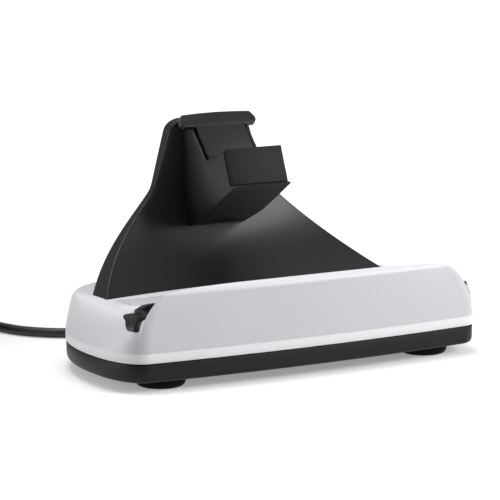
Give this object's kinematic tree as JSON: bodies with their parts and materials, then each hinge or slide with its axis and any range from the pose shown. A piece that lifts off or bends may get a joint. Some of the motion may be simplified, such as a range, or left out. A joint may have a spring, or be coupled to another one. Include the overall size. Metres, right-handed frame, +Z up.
{
  "type": "console charging dock",
  "caption": "Weighted charging dock for a handheld console: leaning trough with a plug, glowing band, curved black riser with an upper cradle, and a lead to a USB plug.",
  "frame": {"origin": "centre of the base's footprint on the table, under the rubber feet", "axes": "+X to the right along the trough, -Y towards the user and the front wall, +Z up"},
  "size_m": [0.2163, 0.1874, 0.0963],
  "materials": {
    "grey_abs": "fine satin moulded",
    "diffuser": "smooth translucent white",
    "charcoal_abs": "fine satin moulded",
    "black_abs": "fine matt moulded",
    "textured_face": "fine grain texture",
    "insulator": "smooth",
    "plug_moulding": "matt moulded",
    "board_parts": "smooth",
    "circuit_board": "solder resist",
    "led": "phosphor",
    "plated_steel": "plated",
    "screw_steel": "zinc plated",
    "foot_rubber": "matt",
    "lead_jacket": "matt jacket",
    "tie_strap": "woven"
  },
  "bodies": {
    "root": {"base_tray": "charcoal_abs", "light_band": "diffuser", "top_cover": "grey_abs", "trough_liner": "black_abs", "riser_front": "black_abs", "riser_rear": "black_abs", "cradle_block": "black_abs", "cradle_face": "textured_face", "back_plate": "black_abs", "plug_housing": "black_abs", "plug_shell": "plated_steel", "plug_insert": "insulator", "plug_board": "circuit_board", "main_board": "circuit_board", "board_parts": "board_parts", "led_strip": "circuit_board", "leds": "led", "ballast_plate": "plated_steel", "foot_front_left": "foot_rubber", "foot_front_right": "foot_rubber", "foot_rear_left": "foot_rubber", "foot_rear_right": "foot_rubber", "base_screws": "screw_steel", "ballast_screws": "screw_steel", "board_screws": "screw_steel", "riser_foot_screws": "screw_steel", "riser_screws": "screw_steel", "cradle_screws": "screw_steel", "strain_relief": "lead_jacket", "inner_lead": "lead_jacket", "power_lead": "lead_jacket", "power_lead_coil": "lead_jacket", "power_lead_end": "lead_jacket", "lead_tie": "tie_strap", "usb_plug_body": "plug_moulding", "usb_plug_shell": "plated_steel", "usb_plug_insert": "insulator"}
  },
  "joints": []
}
